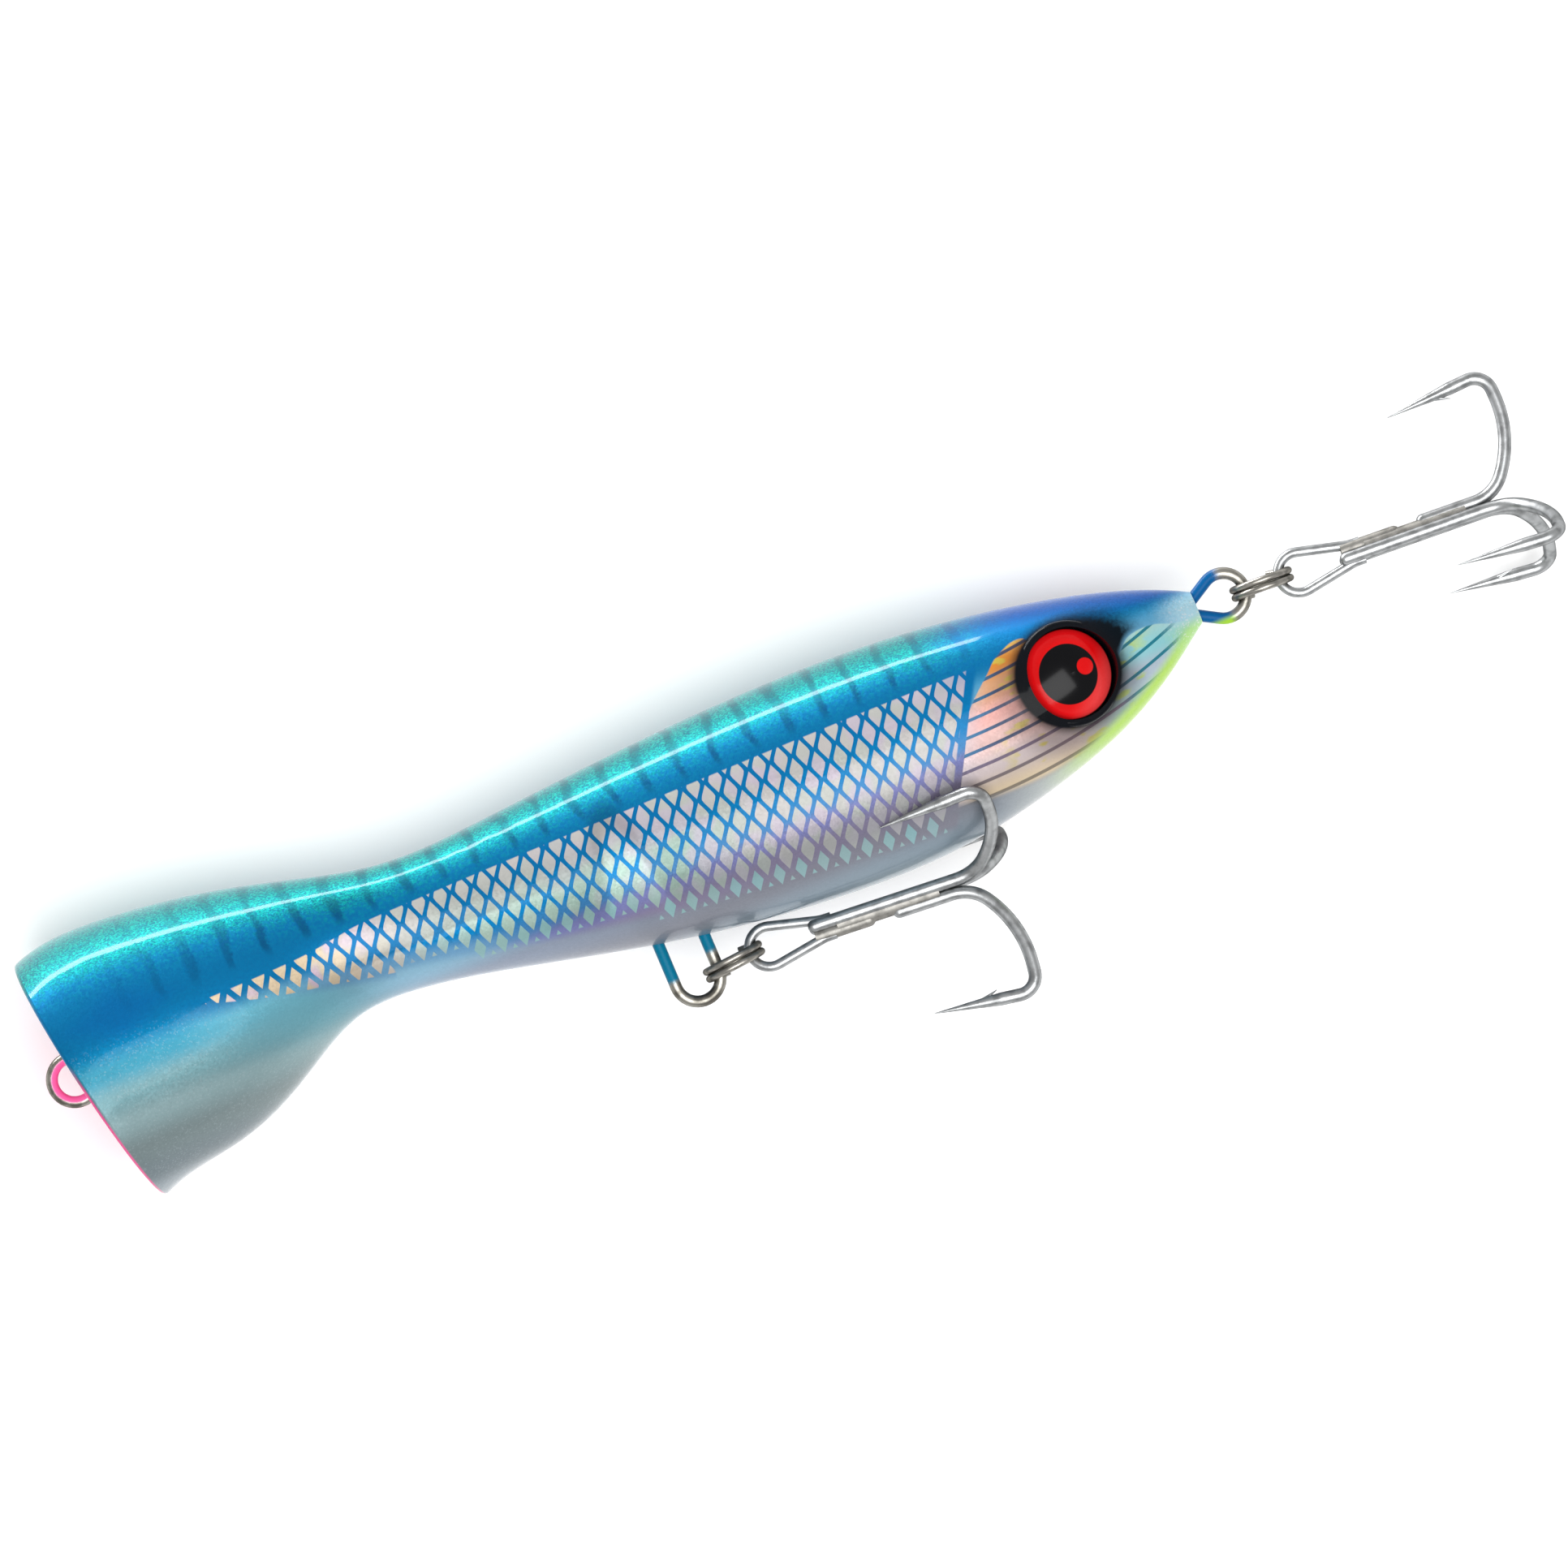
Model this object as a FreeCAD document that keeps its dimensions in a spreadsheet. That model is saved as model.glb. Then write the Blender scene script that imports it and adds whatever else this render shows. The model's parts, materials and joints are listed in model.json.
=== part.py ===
"""Topwater popper: a hollow two-shell lure body on a one-piece through-wire, with two
split rings and two treble hooks.  FreeCAD 1.1 macro, millimetres.

Frame: the origin is the centre of the line-tie loop.  +X runs along the wire to the tail
loop, +Y points to the lure's back and +Z leaves its left side.  The lure lies on its right
side, and the two shells meet at Z = 0.
"""
import FreeCAD, Part
import math
import os
import Sketcher
from FreeCAD import Placement, Rotation, Vector

# ---------------------------------------------------------------- driving dimensions
DIMENSIONS = {
    # body shells
    "roundness": 0.93,            # half-width over half-height of every section
    "wall": 1.8,
    "mouth_middle": 1.7,          # where the mouth plane crosses the wire axis
    "mouth_middle_height": -0.6,
    "mouth_slant": 10.4,          # the back lip stands further forward, degrees
    "cup_depth": 10.0,
    "cup_half_height": 16.4,
    "cup_half_width": 15.3,
    "lip_edge": 0.6,              # fillet on both edges of the lip
    "bulkhead": 2.0,
    "nose_bulkhead_start": 41.0,
    "hanger_block_start": 74.0,
    "hanger_block_end": 90.0,
    "ballast_rib_start": 110.0,
    "tail_block_start": 129.0,
    "fit_gap": 0.05,              # around pieces glued between the shells
    "peg_radius": 1.1,
    "peg_length": 2.0,
    "peg_height": 6.5,            # above or below the wire axis
    "peg_inset": 2.5,             # from the face of the cross wall
    # through-wire
    "wire_radius": 0.8,
    "loop_radius": 3.0,           # centreline of the line tie and of the tail loop
    "loop_neck_radius": 1.5,
    "leg_offset": 0.85,           # the two legs of a loop lie side by side
    "corner_radius": 3.0,
    "nose_return_end": 18.0,
    "hanger_middle": 81.25,
    "hanger_depth": 19.7,
    "hanger_radius": 3.05,
    "tail_loop_middle": 165.1,
    "tail_loop_taper": 30.0,      # the straight sides of the tail loop lean in, degrees
    "tail_return_end": 152.0,
    # ballast and rattles
    "slug_radius": 4.6,
    "slug_length": 24.0,
    "slug_start": 87.5,
    "slug_depth": 9.6,
    "tail_ball_radius": 3.9,
    "fore_ball_place": 134.5,
    "fore_ball_depth": 7.4,
    "aft_ball_place": 143.2,
    "aft_ball_depth": 6.3,
    "rattle_height": 5.9,
    "rattle_bore_radius": 3.2,
    "rattle_sleeve_radius": 4.4,
    "rattle_ball_radius": 3.0,
    # eyes
    "eye_place": 142.2,
    "eye_height": -1.6,
    "eye_level": 8.6,             # mid-plane to the top of the socket ring
    "eye_tilt": 17.0,             # the eyes look a little towards the tail, degrees
    "eye_surround_radius": 7.1,
    "eye_surround_depth": 5.0,
    "eye_surround_edge": 0.6,
    "eye_socket_radius": 6.2,
    "eye_socket_depth": 1.5,
    "eye_radius": 6.1,
    "eye_disc_thick": 0.5,
    "eye_dome_height": 2.3,
    # split rings: nearly two turns of round wire
    "ring_radius": 3.9,
    "ring_wire_radius": 0.49,
    "ring_pitch": 1.02,
    "ring_turns": 1.9,
    "ring_reach": 1.42,           # pivot of the swing to the near wire of the ring
    "ring_eye_gap": 0.35,
    "belly_ring_heading": 2.0,
    "tail_ring_heading": -5.9,
    # treble hooks
    "hook_wire_radius": 0.875,
    "hook_offset": 1.02,          # shank axis to the middle of each of the three wires
    "hook_eye_wire_radius": 0.66,
    "hook_eye_radius": 2.72,
    "hook_eye_neck_radius": 5.0,
    "hook_eye_taper": 12.0,       # the straight sides of the pear-shaped eye lean in, degrees
    "hook_eye_leg_offset": 1.2,
    "hook_eye_leg_length": 1.0,
    "double_shank_start": 9.9,
    "single_shank_start": 21.2,
    "single_shank_end": 28.5,
    "double_shank_end": 29.5,
    "bend_radius": 5.4,
    "bend_turn": 54.0,
    "sweep_radius": 15.5,         # the front of each hook bows out, then comes the crook
    "sweep_turn": 40.0,
    "front_length": 1.0,
    "crook_radius": 2.5,
    "crook_turn": 92.0,
    "leg_length": 2.6,
    "point_length": 9.0,
    "point_radius": 0.06,
    "barb_from_tip": 6.0,
    "barb_length": 3.0,
    "barb_radius": 0.45,
    "barb_turn": 26.0,
    "braze_radius": 1.3,
    "braze_start": 12.8,
    "fillet_start": 9.6,
    "fillet_radius": 0.95,        # braze run in line with the single hook, behind its end
    "fillet_offset": 0.75,
    "fillet_end": 17.0,
    "belly_treble_heading": -4.5,
    "belly_treble_lift": 2.2,
    "belly_treble_roll": 12.0,
    "tail_treble_heading": -3.4,
    "tail_treble_lift": 0.0,
    "tail_treble_roll": 187.0,
}

# Sections of the body: name, distance from the line tie, belly outline, back outline.
STATIONS = (
    ("entry", -4.0, -16.6, 15.9),
    ("rim", 7.0, -18.1, 18.4),
    ("flare", 17.0, -16.1, 17.6),
    ("throat", 28.0, -11.8, 15.6),
    ("waist", 38.0, -6.9, 12.9),
    ("keel", 47.0, -6.7, 10.8),
    ("paunch", 62.0, -9.7, 10.7),
    ("hanger", 82.0, -14.3, 12.1),
    ("girth", 102.0, -17.0, 12.8),
    ("gill", 120.0, -17.3, 12.2),
    ("cheek", 136.0, -14.5, 10.1),
    ("temple", 148.0, -10.4, 7.4),
    ("snout", 156.0, -5.9, 4.7),
    ("tip", 161.2, -2.2, 2.2),
)
HOLLOW_STATIONS = ("flare", "throat", "waist", "keel", "paunch", "hanger", "girth", "gill", "cheek")

ACROSS = Rotation(Vector(1, 1, 1), 120)       # turns the XY plane into a section across X
ALONG = Rotation(Vector(0, 1, 0), 90)         # turns a cylinder's axis from Z to X
FRONT, LEFT = Vector(1, 0, 0), Vector(0, 0, 1)

document = FreeCAD.newDocument("topwater_popper")
sheet = document.addObject("Spreadsheet::Sheet", "dims")


def fill_sheet():
    """Write every driving dimension into the sheet, one row each."""
    rows = list(DIMENSIONS.items())
    for name, place, low, high in STATIONS:
        rows += [(name + "_place", place), (name + "_low", low), (name + "_high", high)]
    for number, (alias, size) in enumerate(rows, start=1):
        sheet.set(f"A{number}", alias)
        sheet.set(f"B{number}", str(size))
        sheet.setAlias(f"B{number}", alias)
    document.recompute()


def value(expression):
    """The number that an expression of the sheet's cells gives now."""
    result = sheet.evalExpression(expression)
    return float(getattr(result, "Value", result))


def add(kind, name, placement=None, **sizes):
    """Add an object whose sizes are expressions of the sheet's cells."""
    thing = document.addObject(kind, name)
    if placement:
        thing.Placement = placement
    for size, expression in sizes.items():
        thing.setExpression(size, expression)
    return thing


def fuse(name, pieces):
    thing = document.addObject("Part::MultiFuse", name)
    thing.Shapes = pieces
    return thing


def cut(name, base, tool):
    thing = document.addObject("Part::Cut", name)
    thing.Base, thing.Tool = base, tool
    return thing


def round_edges(name, base, radius, chosen):
    """Fillet those edges of base that the test picks; the radius comes from the sheet."""
    document.recompute()
    size = value(radius)
    edges = enumerate(base.Shape.Edges, start=1)
    thing = document.addObject("Part::Fillet", name)
    thing.Base = base
    thing.Edges = [(number, size, size) for number, edge in edges if chosen(edge)]
    return thing


def block(name, start, stop, above=None):
    """A slab across the whole body from start to stop, or only its left or right half."""
    thing = add("Part::Box", name, Length=f"({stop}) - ({start})", Width="80")
    thing.setExpression("Height", "40" if above is not None else "80")
    bottom = {None: -40, True: 0, False: -40}[above]
    thing.Placement = Placement(Vector(value(start), -40, bottom), Rotation())
    return thing


# ---------------------------------------------------------------- bent wire
class WireWalk:
    """Round wire laid in one plane as straight cylinders and torus arcs, end to end."""

    def __init__(self, name, radius, start, heading, normal):
        self.name, self.radius = name, radius
        self.spot, self.heading, self.normal = start, heading, normal
        self.pieces = []

    def label(self):
        return f"{self.name}_{len(self.pieces) + 1}"

    def run(self, length):
        turn = Rotation(Vector(0, 0, 1), self.heading)
        rod = add("Part::Cylinder", self.label(), Placement(self.spot, turn),
                  Radius=self.radius, Height=length)
        self.pieces.append(rod)
        self.spot = self.spot + self.heading * value(length)
        return self

    def bend(self, radius, degrees):
        """Turn by an angle about the plane's normal; a negative angle turns the other way."""
        turned = value(degrees)
        axis = self.normal if turned > 0 else self.normal * -1
        inward = axis.cross(self.heading)
        centre = self.spot + inward * value(radius)
        frame = Rotation(inward * -1, axis.cross(inward * -1), axis, "ZXY")
        arc = add("Part::Torus", self.label(), Placement(centre, frame),
                  Radius1=radius, Radius2=self.radius, Angle3=f"abs({degrees})")
        self.pieces.append(arc)
        swing = Rotation(axis, abs(turned))
        self.heading = swing.multVec(self.heading)
        self.spot = centre + swing.multVec(self.spot - centre)
        return self

    def loop(self, radius, neck, offset):
        """An eye: a neck bend out, the round loop, and a neck bend back to the second leg."""
        lean = f"acos(({offset} + {neck}) / ({radius} + {neck}))"
        self.bend(neck, f"-({lean})")
        self.bend(radius, f"180 deg + 2 * ({lean})")
        return self.bend(neck, f"-({lean})")

    def pear(self, radius, neck, offset, taper):
        """An eye with straight sides that lean in by a taper angle from the round end."""
        side = pear_side(radius, neck, offset, taper)
        self.bend(neck, f"-({taper})").run(side)
        self.bend(radius, f"180 + 2 * ({taper})").run(side)
        return self.bend(neck, f"-({taper})")


def loop_reach(radius, neck, offset):
    """Distance from the middle of a loop to where its legs become straight."""
    return f"sqrt(({radius} + {neck})^2 - ({offset} + {neck})^2)"


def pear_side(radius, neck, offset, taper):
    """Length of each straight side of a pear-shaped eye."""
    return f"(({radius} + {neck}) * cos({taper}) - {offset} - {neck}) / sin({taper})"


def pear_reach(radius, neck, offset, taper):
    """Distance from the middle of a pear-shaped eye's round end to its parallel legs."""
    side = pear_side(radius, neck, offset, taper)
    return f"({radius} + {neck}) * sin({taper}) + ({side}) * cos({taper})"


def walk_through_wire(name, radius):
    """The one wire of the lure: line tie, belly hanger and tail loop, all at Z = 0."""
    shape = ("dims.loop_radius", "dims.loop_neck_radius", "dims.leg_offset")
    reach = loop_reach(*shape)
    start = Vector(value("dims.nose_return_end"), -value("dims.leg_offset"), 0)
    # The walk turns about -Z, so that each loop bend and the hanger bend are positive.
    wire = WireWalk(name, radius, start, FRONT * -1, LEFT * -1)
    wire.run(f"dims.nose_return_end - {reach}").loop(*shape)
    before_hanger = "dims.hanger_middle - dims.hanger_radius - dims.corner_radius"
    wire.run(f"{before_hanger} - {reach}").bend("dims.corner_radius", "90")
    upright = "dims.leg_offset + dims.hanger_depth - dims.corner_radius"
    wire.run(upright).bend("dims.hanger_radius", "-180").run(upright)
    wire.bend("dims.corner_radius", "90")
    after_hanger = "dims.hanger_middle + dims.hanger_radius + dims.corner_radius"
    tail = pear_reach(*shape, "dims.tail_loop_taper")
    wire.run(f"dims.tail_loop_middle - ({tail}) - ({after_hanger})")
    wire.pear(*shape, "dims.tail_loop_taper")
    wire.run(f"dims.tail_loop_middle - ({tail}) - dims.tail_return_end")
    return wire


def make_through_wire():
    wire = walk_through_wire("wire_piece", "dims.wire_radius")
    return fuse("through_wire", wire.pieces)


# ---------------------------------------------------------------- body shells
def section(name, station, inset):
    """One elliptical section across the body, an even inset smaller than the outline."""
    low, high, place = (f"dims.{station}_{part}" for part in ("low", "high", "place"))
    ring = add("Part::Ellipse", f"{name}_{station}",
               MajorRadius=f"({high} - ({low})) / 2 - {inset}",
               MinorRadius=f"({high} - ({low})) / 2 * dims.roundness - {inset}")
    middle = value(f"({high} + ({low})) / 2")
    ring.Placement = Placement(Vector(value(place), middle, 0), ACROSS)
    return ring


def loft(name, stations, inset):
    thing = document.addObject("Part::Loft", name)
    thing.Sections = [section(name, station, inset) for station in stations]
    thing.Solid, thing.Ruled, thing.MaxDegree = True, False, 5
    return thing


def mouth_placement():
    """On the slanted mouth plane, with local X pointing into the body."""
    middle = Vector(value("dims.mouth_middle"), value("dims.mouth_middle_height"), 0)
    return Placement(middle, Rotation(LEFT, value("dims.mouth_slant")))


def make_mouth_trim():
    trim = add("Part::Box", "mouth_trim", Length="20", Width="80", Height="80")
    trim.Placement = mouth_placement().multiply(Placement(Vector(-20, -40, -40), Rotation()))
    return trim


def on_lip(edge):
    """Whether an edge of a half lies on the mouth plane and isn't where the halves meet."""
    inward = mouth_placement().Rotation.multVec(FRONT)
    points = [vertex.Point for vertex in edge.Vertexes] + [edge.CenterOfMass]
    flat = all(abs((point - mouth_placement().Base).dot(inward)) < 0.001 for point in points)
    return flat and abs(edge.CenterOfMass.z) > 1


def make_cup():
    """The concave face that spits water: half of an ellipsoid sunk into the mouth plane."""
    return add("Part::Ellipsoid", "cup", mouth_placement(), Radius1="dims.cup_half_width",
               Radius2="dims.cup_depth", Radius3="dims.cup_half_height")


def tube(name, radius, start, stop, height):
    """A cylinder along X at a height above the wire axis."""
    spot = Vector(value(start), value(height), 0)
    return add("Part::Cylinder", name, Placement(spot, ALONG), Radius=radius,
               Height=f"({stop}) - ({start})")


RATTLES = {
    "front": ("dims.nose_bulkhead_start + dims.bulkhead", "dims.hanger_block_start"),
    "rear": ("dims.hanger_block_end", "dims.ballast_rib_start"),
}


def make_hollow():
    """The air space: an inner loft less the cross walls and the two rattle sleeves."""
    space = loft("air", HOLLOW_STATIONS, "dims.wall")
    walls = [
        block("nose_bulkhead", "dims.nose_bulkhead_start",
              "dims.nose_bulkhead_start + dims.bulkhead"),
        block("hanger_block", "dims.hanger_block_start", "dims.hanger_block_end"),
        block("ballast_rib", "dims.ballast_rib_start", "dims.ballast_rib_start + dims.bulkhead"),
        block("tail_block", "dims.tail_block_start", "dims.cheek_place + 1"),
    ]
    for end, (start, stop) in RATTLES.items():
        walls.append(tube(f"sleeve_{end}", "dims.rattle_sleeve_radius", start, stop,
                          "dims.rattle_height"))
    return cut("hollow", space, fuse("cross_walls", walls))


def ball(name, radius, place, height):
    return add("Part::Sphere", name, Placement(Vector(value(place), value(height), 0), Rotation()),
               Radius=radius)


TAIL_BALLS = {
    "fore": ("dims.fore_ball_place", "-dims.fore_ball_depth"),
    "aft": ("dims.aft_ball_place", "-dims.aft_ball_depth"),
}


def slug(name, gap):
    return tube(name, f"dims.slug_radius + {gap}", f"dims.slug_start - {gap}",
                f"dims.slug_start + dims.slug_length + {gap}", "-dims.slug_depth")


def make_pockets():
    """Everything that is taken out of the shells for the pieces glued or loose inside."""
    gap = "dims.fit_gap"
    pockets = [slug("slug_pocket", gap)]
    for name, (place, height) in TAIL_BALLS.items():
        pockets.append(ball(f"{name}_pocket", f"dims.tail_ball_radius + {gap}", place, height))
    for end, (start, stop) in RATTLES.items():
        pockets.append(tube(f"bore_{end}", "dims.rattle_bore_radius", f"{start} + 0.6",
                            f"{stop} - 0.6", "dims.rattle_height"))
    return pockets


def eye_placement(side):
    """Socket ring of the left (+1) or right (-1) eye, with local Z pointing out of the body."""
    tilt = Rotation(Vector(0, 1, 0), value("dims.eye_tilt"))
    left = Placement(Vector(value("dims.eye_place"), value("dims.eye_height"),
                            value("dims.eye_level")), tilt)
    if side > 0:
        return left
    spot = Vector(left.Base.x, left.Base.y, -left.Base.z)
    return Placement(spot, Rotation(Vector(0, 1, 0), 180 - value("dims.eye_tilt")))


def on_eye(side, depth):
    """A point on the axis of an eye, that far below its socket ring."""
    return eye_placement(side).multiply(Placement(Vector(0, 0, -value(depth)), Rotation()))


SIDES = {"left": 1, "right": -1}


def make_surround(name, side):
    """The raised ring that frames an eye, with its outer edge rounded."""
    ring = add("Part::Cylinder", f"surround_{name}", on_eye(side, "dims.eye_surround_depth"),
               Radius="dims.eye_surround_radius", Height="dims.eye_surround_depth")
    top = eye_placement(side).Base
    return round_edges(f"surround_{name}_rounded", ring, "dims.eye_surround_edge",
                       lambda edge: edge.CenterOfMass.distanceToPoint(top) < 0.01)


def make_socket(name, side):
    return add("Part::Cylinder", f"socket_{name}", on_eye(side, "dims.eye_socket_depth"),
               Radius="dims.eye_socket_radius", Height="dims.eye_socket_depth + 3")


PEGS = (
    ("dims.hanger_block_start + dims.peg_inset", "dims.peg_height"),
    ("dims.hanger_block_end - dims.peg_inset", "dims.peg_height"),
    ("dims.hanger_block_end - dims.peg_inset", "-dims.peg_height / 2"),
    ("dims.tail_block_start + dims.peg_inset", "dims.peg_height"),
)


def make_pegs(name, gap):
    """Locating pegs that stand on the left shell and enter the right one."""
    pegs = []
    for number, (place, height) in enumerate(PEGS):
        bottom = Vector(value(place), value(height), -value(f"dims.peg_length + {gap}"))
        pegs.append(add("Part::Cylinder", f"{name}_{number}", Placement(bottom, Rotation()),
                        Radius=f"dims.peg_radius + {gap}",
                        Height=f"2 * dims.peg_length + {gap}"))
    return pegs


def make_half(name, blank):
    """One half of the blank, with both edges of its lip rounded."""
    half = document.addObject("Part::Common", f"half_{name}")
    half.Base, half.Tool = blank, block(f"side_{name}", "-20", "200", name == "left")
    return round_edges(f"lip_{name}", half, "dims.lip_edge", on_lip)


def make_shells():
    """Both halves, cut from one blank at Z = 0; the left one has the pegs."""
    outside = loft("outside", [name for name, *_ in STATIONS], "0")
    blank = fuse("blank", [outside] + [make_surround(name, side) for name, side in SIDES.items()])
    channel = walk_through_wire("channel_piece", "dims.wire_radius + dims.fit_gap")
    tools = [make_mouth_trim(), make_cup(), make_hollow(), fuse("channel", channel.pieces)]
    tools += make_pockets() + [make_socket(name, side) for name, side in SIDES.items()]
    for number, tool in enumerate(tools):
        blank = cut(f"blank_{number}", blank, tool)
    left, right = (make_half(name, blank) for name in SIDES)
    fuse("shell_left", [left] + make_pegs("peg", "0"))
    cut("shell_right", right, fuse("peg_holes", make_pegs("peg_hole", "dims.fit_gap")))


# ---------------------------------------------------------------- pieces inside and the eyes
def make_ballast_and_rattles():
    slug("belly_weight", "0")
    for name, (place, height) in TAIL_BALLS.items():
        ball(f"tail_weight_{name}", "dims.tail_ball_radius", place, height)
    for end, (start, stop) in RATTLES.items():
        ball(f"rattle_ball_{end}", "dims.rattle_ball_radius", f"({start} + {stop}) / 2",
             "dims.rattle_height")


def make_eyes():
    """A printed disc at the bottom of each socket, with a clear dome glued over it."""
    curve = "((dims.eye_radius^2 + dims.eye_dome_height^2) / (2 * dims.eye_dome_height))"
    for name, side in SIDES.items():
        add("Part::Cylinder", f"eye_disc_{name}", on_eye(side, "dims.eye_socket_depth"),
            Radius="dims.eye_radius", Height="dims.eye_disc_thick")
        base = "dims.eye_socket_depth - dims.eye_disc_thick"
        middle = f"{base} + ({curve} - dims.eye_dome_height)"
        add("Part::Sphere", f"eye_dome_{name}", on_eye(side, middle), Radius=curve,
            Angle1=f"asin(({curve} - dims.eye_dome_height) / {curve})")


# ---------------------------------------------------------------- split rings
def heading_vector(degrees):
    return Rotation(LEFT, degrees).multVec(FRONT)


def ring_middle(pivot, heading):
    return pivot + heading_vector(heading) * value("dims.ring_reach + dims.ring_radius")


def make_split_ring(name, pivot, heading):
    """Nearly two turns of wire; the ring stands across Z and hangs from a loop at pivot."""
    body = document.addObject("PartDesign::Body", name)
    profile = body.newObject("Sketcher::SketchObject", f"{name}_wire")
    plane = next(item for item in body.Origin.OriginFeatures if item.Role == "XZ_Plane")
    profile.AttachmentSupport, profile.MapMode = [(plane, "")], "FlatFace"
    middle = Vector(value("dims.ring_radius"), 0, 0)
    profile.addGeometry(Part.Circle(middle, Vector(0, 0, 1), value("dims.ring_wire_radius")))
    constraints = (
        ("wire_radius", Sketcher.Constraint("Radius", 0, value("dims.ring_wire_radius"))),
        ("ring_radius", Sketcher.Constraint("DistanceX", -1, 1, 0, 3, middle.x)),
    )
    for alias, constraint in constraints:
        number = profile.addConstraint(constraint)
        profile.renameConstraint(number, alias)
    profile.addConstraint(Sketcher.Constraint("PointOnObject", 0, 3, -1))
    profile.setExpression("Constraints.wire_radius", "dims.ring_wire_radius")
    profile.setExpression("Constraints.ring_radius", "dims.ring_radius")
    document.recompute()
    coil = body.newObject("PartDesign::AdditiveHelix", f"{name}_coil")
    coil.Profile = profile
    axis = next(item for item in body.Origin.OriginFeatures if item.Role == "Z_Axis")
    coil.ReferenceAxis = (axis, [""])
    coil.Mode = "pitch-turns-angle"
    coil.setExpression("Pitch", "dims.ring_pitch")
    coil.setExpression("Turns", "dims.ring_turns")
    outward = heading_vector(heading)
    ring_axis = LEFT.cross(outward)
    frame = Rotation(outward, ring_axis.cross(outward), ring_axis, "ZXY")
    turned = frame.multiply(Rotation(Vector(0, 0, 1), 108))
    half_width = ring_axis * value("dims.ring_pitch * dims.ring_turns / 2")
    body.Placement = Placement(ring_middle(pivot, heading) - half_width, turned)
    return body


# ---------------------------------------------------------------- treble hooks
def spread(roll):
    """Direction away from the shank at a roll about it, from local +Y."""
    return Rotation(FRONT, roll).multVec(Vector(0, 1, 0))


def make_hook_wire(name, kind, roll):
    """One shank with its bend, crook, needle point and barb, in the frame of the treble."""
    outward = spread(roll)
    normal = FRONT.cross(outward)
    start = f"dims.{kind}_shank_start"
    spot = FRONT * value(start) + outward * value("dims.hook_offset")
    nose = add("Part::Sphere", f"{name}_nose", Placement(spot, Rotation(Vector(0, 0, 1), FRONT)),
               Radius="dims.hook_wire_radius")
    wire = WireWalk(name, "dims.hook_wire_radius", spot, FRONT, normal)
    wire.run(f"dims.{kind}_shank_end - {start}").bend("dims.bend_radius", "dims.bend_turn")
    wire.bend("dims.sweep_radius", "dims.sweep_turn").run("dims.front_length")
    wire.bend("dims.crook_radius", "dims.crook_turn").run("dims.leg_length")
    needle = add("Part::Cone", f"{name}_point",
                 Placement(wire.spot, Rotation(Vector(0, 0, 1), wire.heading)),
                 Radius1="dims.hook_wire_radius", Radius2="dims.point_radius",
                 Height="dims.point_length")
    root = wire.spot + wire.heading * value("dims.point_length - dims.barb_from_tip")
    back = Rotation(normal, -value("dims.barb_turn")).multVec(wire.heading * -1)
    barb = add("Part::Cone", f"{name}_barb", Placement(root, Rotation(Vector(0, 0, 1), back)),
               Radius1="dims.barb_radius", Radius2="0.05", Height="dims.barb_length")
    return [nose] + wire.pieces + [needle, barb]


def make_hook_eye(name):
    """The eye of a treble, a pear loop in the plane of the single hook."""
    shape = ("dims.hook_eye_radius", "dims.hook_eye_neck_radius", "dims.hook_eye_leg_offset",
             "dims.hook_eye_taper")
    middle = "dims.hook_eye_radius + dims.hook_eye_wire_radius"
    straight = value(f"{middle} + {pear_reach(*shape)} + dims.hook_eye_leg_length")
    start = Vector(straight, -value("dims.hook_eye_leg_offset"), 0)
    wire = WireWalk(f"{name}_eye", "dims.hook_eye_wire_radius", start, FRONT * -1, LEFT * -1)
    wire.run("dims.hook_eye_leg_length").pear(*shape).run("dims.hook_eye_leg_length")
    return wire.pieces


def treble_placement(side):
    """Frame of a treble: its eye hangs on the far wire of the split ring."""
    pivot = PIVOTS[side]()
    heading = value(f"dims.{side}_treble_heading")
    lift = value(f"dims.{side}_treble_lift")
    ring_heading = value(f"dims.{side}_ring_heading")
    across = LEFT.cross(heading_vector(ring_heading))
    shank = Rotation(across, -lift).multVec(heading_vector(heading))
    reach = Rotation(across, -lift).multVec(heading_vector(ring_heading))
    far_wire = ring_middle(pivot, ring_heading) + reach * value("dims.ring_radius")
    hang = "dims.ring_wire_radius + dims.ring_eye_gap + 2 * dims.hook_eye_wire_radius"
    level = LEFT.cross(shank).normalize()
    single = Rotation(shank, -value(f"dims.{side}_treble_roll")).multVec(level * -1)
    frame = Rotation(shank, single, shank.cross(single), "XYZ")
    return Placement(far_wire - shank * value(hang), frame)


def make_braze(side, wires):
    """Braze metal between the three shanks, and a fillet of it behind the single hook's end."""
    start = Placement(FRONT * value("dims.braze_start"), ALONG)
    rod = add("Part::Cylinder", f"{side}_braze_rod", start, Radius="dims.braze_radius",
              Height="dims.single_shank_end - 1.5 - dims.braze_start")
    lifted = Vector(0, value("dims.fillet_offset"), 0)
    start = Placement(FRONT * value("dims.fillet_start") + lifted, ALONG)
    fillet = add("Part::Cylinder", f"{side}_fillet", start, Radius="dims.fillet_radius",
                 Height="dims.fillet_end - dims.fillet_start")
    end = Placement(FRONT * value("dims.fillet_end") + lifted, ALONG)
    cap = add("Part::Sphere", f"{side}_fillet_cap", end, Radius="dims.fillet_radius")
    metal = fuse(f"{side}_braze_metal", [rod, fillet, cap])
    return cut(f"{side}_treble_braze", metal, wires)


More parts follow.
